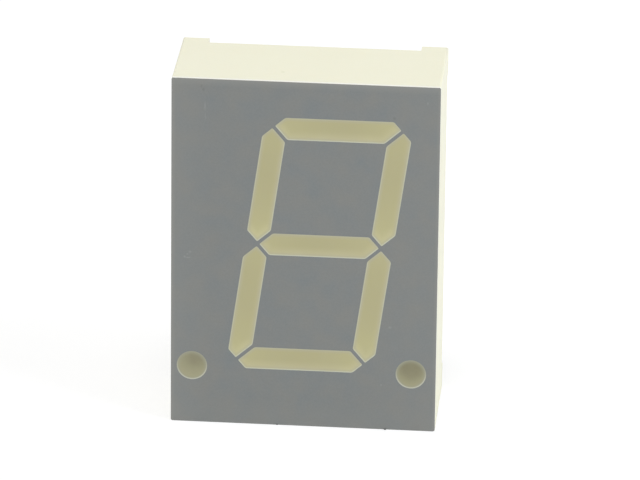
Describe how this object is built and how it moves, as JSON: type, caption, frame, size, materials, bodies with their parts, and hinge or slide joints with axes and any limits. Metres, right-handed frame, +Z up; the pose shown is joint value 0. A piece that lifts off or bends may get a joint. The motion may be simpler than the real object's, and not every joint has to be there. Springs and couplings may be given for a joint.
{
  "type": "seven segment display",
  "caption": "Single-digit seven segment LED display with a grey face, milky leaning segments and a decimal point on each side, with pins behind.",
  "frame": {"origin": "middle of the footprint on the table when the display stands upright on its lower edge", "axes": "+X to the reader's right, +Y from the printed face back along the pins, +Z up the digit"},
  "size_m": [0.02, 0.0136, 0.0277],
  "materials": {
    "housing": "satin",
    "ink": "matte",
    "epoxy": "satin",
    "board": "satin",
    "copper": "satin",
    "die": "gloss",
    "gold": "polished",
    "pin": "satin",
    "solder": "polished",
    "potting": "satin"
  },
  "bodies": {
    "root": {"reflector_housing": "housing", "face_ink": "ink", "segment_a": "epoxy", "segment_b": "epoxy", "segment_c": "epoxy", "segment_d": "epoxy", "segment_e": "epoxy", "segment_f": "epoxy", "segment_g": "epoxy", "dot_left": "epoxy", "dot_right": "epoxy", "circuit_board": "board", "front_tracks": "copper", "rear_pads": "copper", "die_a": "die", "die_b": "die", "die_c": "die", "die_d": "die", "die_e": "die", "die_f": "die", "die_g": "die", "die_dot_left": "die", "die_dot_right": "die", "bond_wires": "gold", "pin_2": "pin", "pin_3": "pin", "pin_4": "pin", "pin_5": "pin", "pin_6": "pin", "pin_7": "pin", "pin_10": "pin", "pin_11": "pin", "pin_12": "pin", "pin_13": "pin", "pin_14": "pin", "pin_15": "pin", "pin_17": "pin", "solder_joints": "solder", "potting": "potting"}
  },
  "joints": []
}
